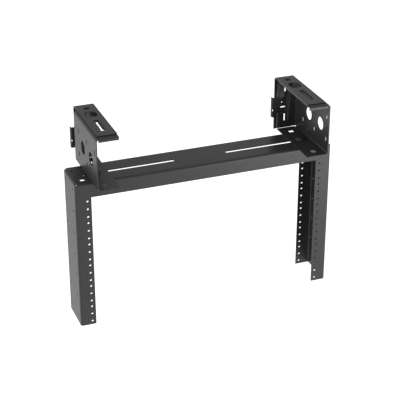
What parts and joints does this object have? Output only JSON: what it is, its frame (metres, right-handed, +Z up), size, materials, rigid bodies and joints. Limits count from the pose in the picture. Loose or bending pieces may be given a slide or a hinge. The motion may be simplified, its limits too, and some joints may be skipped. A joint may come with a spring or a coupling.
{
  "type": "ceiling mount rack",
  "caption": "Inverted U of folded sheet steel with rack-mount posts, hung from the ceiling on two open box brackets.",
  "frame": {"origin": "on the ceiling face of the left bracket, midway across it, between its slot and its oblong hole", "axes": "+X across the rack to the right, +Y to the back, +Z up, out of the ceiling faces"},
  "size_m": [0.511, 0.166, 0.4025],
  "materials": {
    "powder_coat": "fine-textured black powder coat"
  },
  "bodies": {
    "root": {"crossbar": "powder_coat", "left_post": "powder_coat", "right_post": "powder_coat", "left_bracket": "powder_coat", "right_bracket": "powder_coat", "left_ceiling_plate": "powder_coat", "right_ceiling_plate": "powder_coat"}
  },
  "joints": []
}
